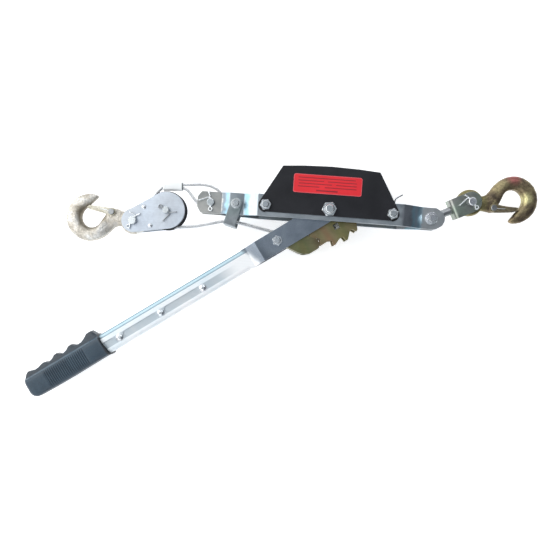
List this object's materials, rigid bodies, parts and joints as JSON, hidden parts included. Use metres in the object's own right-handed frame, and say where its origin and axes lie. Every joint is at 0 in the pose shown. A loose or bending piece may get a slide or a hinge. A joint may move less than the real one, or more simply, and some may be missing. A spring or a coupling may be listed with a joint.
{
  "type": "come along winch",
  "caption": "Hand ratchet cable puller with a lever handle, covered drum, pulley block and two latched hooks, for pulling, hoisting and tensioning.",
  "frame": {"origin": "on the drum axle's axis, at the face of the axle bolt's head on the unlabelled side, on which the tool lies", "axes": "+X along the line of pull towards the fixed hook, +Y across the frame towards the gear cover, +Z along the drum axle towards the labelled side"},
  "size_m": [0.7417, 0.3814, 0.0725],
  "materials": {
    "zinc_plate": "bright zinc plated pressed steel, faintly blue and iridescent in the bends",
    "zinc_handle": "bright zinc plated pressed steel",
    "yellow_zinc": "yellow zinc plated steel, mottled gold and olive with pinkish patches",
    "olive_zinc": "yellow zinc plated steel, darker olive",
    "forged_yellow": "drop forged steel, yellow zinc plated, slightly rough, brown and gold",
    "forged_pale": "drop forged steel, pale yellow zinc plated, slightly rough",
    "black_paint": "satin black powder coat",
    "label_red": "red vinyl label with a thin pale border and plain bars",
    "zinc_fastener": "bright zinc plated fasteners",
    "wire_rope": "galvanised steel wire rope",
    "aluminium_ferrule": "swaged aluminium ferrule",
    "spring_steel": "bright spring wire",
    "grip_rubber": "moulded slate grey rubber, satin",
    "black_sheave": "black steel sheave",
    "bronze_bush": "sintered bronze bush"
  },
  "bodies": {
    "frame": {"front_side_plate": "zinc_plate", "rear_side_plate": "zinc_plate", "gear_cover": "black_paint", "label_plate": "label_red", "axle_bolt": "zinc_fastener", "axle_nut": "zinc_fastener", "axle_sleeve": "zinc_plate", "axle_washers": "zinc_fastener", "cover_bolts": "zinc_fastener", "frame_lock_nuts": "zinc_fastener", "frame_spacers": "zinc_plate", "end_bolt": "zinc_fastener", "frame_washers": "zinc_fastener", "guide_bolt": "zinc_fastener", "anchor_pin": "zinc_fastener", "anchor_cotter": "zinc_fastener", "cable_fixed_runs": "wire_rope", "cable_ferrule": "aluminium_ferrule", "cable_lower_run": "wire_rope", "cable_upper_run": "wire_rope"},
    "guide": {"cable_guide": "zinc_plate"},
    "drum": {"front_ratchet_gear": "yellow_zinc", "rear_ratchet_gear": "yellow_zinc", "drum_hub": "zinc_plate", "drum_rivets": "zinc_fastener", "cable_coil": "wire_rope"},
    "stop_pawl_lever": {"stop_pawl": "olive_zinc", "stop_pawl_spring": "spring_steel"},
    "handle": {"handle_front_half": "zinc_handle", "handle_rear_half": "zinc_handle", "handle_screws": "zinc_fastener", "handle_nuts": "zinc_fastener", "handle_grip": "grip_rubber", "drive_pawl_bolt": "zinc_fastener", "drive_pawl_nut": "zinc_fastener", "drive_pawl_sleeve": "zinc_plate", "drive_pawl_spring": "spring_steel"},
    "drive_pawl_lever": {"drive_pawl": "olive_zinc"},
    "cable_carriage": {"cable_bight": "wire_rope"},
    "sheave_wheel": {"sheave": "black_sheave", "sheave_bush": "bronze_bush"},
    "block": {"block_front_plate": "zinc_plate", "block_rear_plate": "zinc_plate", "block_rivets": "zinc_fastener", "sheave_pin": "zinc_fastener", "left_hook_pin": "zinc_fastener", "block_cotters": "zinc_fastener"},
    "load_hook": {"left_hook": "forged_pale", "left_latch_rivet": "zinc_fastener", "left_latch_spring": "spring_steel"},
    "load_latch": {"left_latch": "olive_zinc"},
    "swivel": {"swivel_eye_bolt": "zinc_fastener", "swivel_nut": "zinc_fastener"},
    "clevis": {"swivel_clevis": "zinc_plate", "right_hook_pin": "zinc_fastener", "right_hook_cotter": "zinc_fastener"},
    "anchor_hook": {"right_hook": "forged_yellow", "right_latch_rivet": "zinc_fastener", "right_latch_spring": "spring_steel"},
    "anchor_latch": {"right_latch": "olive_zinc"}
  },
  "joints": [
    {"name": "handle_swing", "type": "hinge", "parent": "frame", "child": "handle", "pos_m": [0, 0, 0.034], "axis": [0, 0, 1], "range_deg": [0, 112.5]},
    {"name": "drive_pawl_pivot", "type": "hinge", "parent": "handle", "child": "drive_pawl_lever", "pos_m": [-0.07143, -0.05002, 0.034], "axis": [0, 0, 1], "range_deg": [-4, 5.2]},
    {"name": "drum_spin", "type": "hinge", "parent": "frame", "child": "drum", "pos_m": [0, 0, 0.034], "axis": [0, 0, 1], "range_deg": [-4140, 0]},
    {"name": "stop_pawl_pivot", "type": "hinge", "parent": "frame", "child": "stop_pawl_lever", "pos_m": [0.092, 0, 0.034], "axis": [0, 0, 1], "range_deg": [-3, 4.9]},
    {"name": "guide_swing", "type": "hinge", "parent": "frame", "child": "guide", "pos_m": [-0.1352, 0, 0.034], "axis": [0, 0, 1], "range_deg": [-1, 20]},
    {"name": "block_slide", "type": "slide", "parent": "frame", "child": "cable_carriage", "axis": [-1, 0, 0], "range_m": [0, 1.175], "deforming": ["cable_lower_run", "cable_upper_run"]},
    {"name": "sheave_spin", "type": "hinge", "parent": "cable_carriage", "child": "sheave_wheel", "pos_m": [-0.2383, -0.0164, 0.034], "axis": [0, 0, 1], "range_deg": [-2870, 0]},
    {"name": "block_tilt", "type": "hinge", "parent": "cable_carriage", "child": "block", "pos_m": [-0.2383, -0.0164, 0.034], "axis": [0, 0, 1], "range_deg": [-20, 45]},
    {"name": "load_hook_pivot", "type": "hinge", "parent": "block", "child": "load_hook", "pos_m": [-0.2865, -0.0352, 0.034], "axis": [0, 0, 1], "range_deg": [-50, 90]},
    {"name": "load_latch_pivot", "type": "hinge", "parent": "load_hook", "child": "load_latch", "pos_m": [-0.3195, -0.0242, 0.034], "axis": [0, 0, 1], "range_deg": [0, 30], "stiffness_Nm_per_rad": 0.15, "springref_deg": -20.05},
    {"name": "swivel_pivot", "type": "hinge", "parent": "frame", "child": "swivel", "pos_m": [0.1531, 0, 0.034], "axis": [0, 0, 1], "range_deg": [-86, 33]},
    {"name": "clevis_swivel", "type": "hinge", "parent": "swivel", "child": "clevis", "pos_m": [0.1531, 0, 0.034], "axis": [0.8949, 0.4462, 0], "continuous": true},
    {"name": "anchor_hook_pivot", "type": "hinge", "parent": "clevis", "child": "anchor_hook", "pos_m": [0.21038, 0.02856, 0.034], "axis": [0, 0, 1], "range_deg": [-62, 93]},
    {"name": "anchor_latch_pivot", "type": "hinge", "parent": "anchor_hook", "child": "anchor_latch", "pos_m": [0.24467, 0.02273, 0.034], "axis": [0, 0, 1], "range_deg": [0, 30], "stiffness_Nm_per_rad": 0.15, "springref_deg": -20.05}
  ],
  "couplings": [
    {"joint": "block_slide", "follows": "drum_spin", "m_per_rad": -0.01625},
    {"joint": "sheave_spin", "follows": "drum_spin", "ratio": 0.69149}
  ]
}
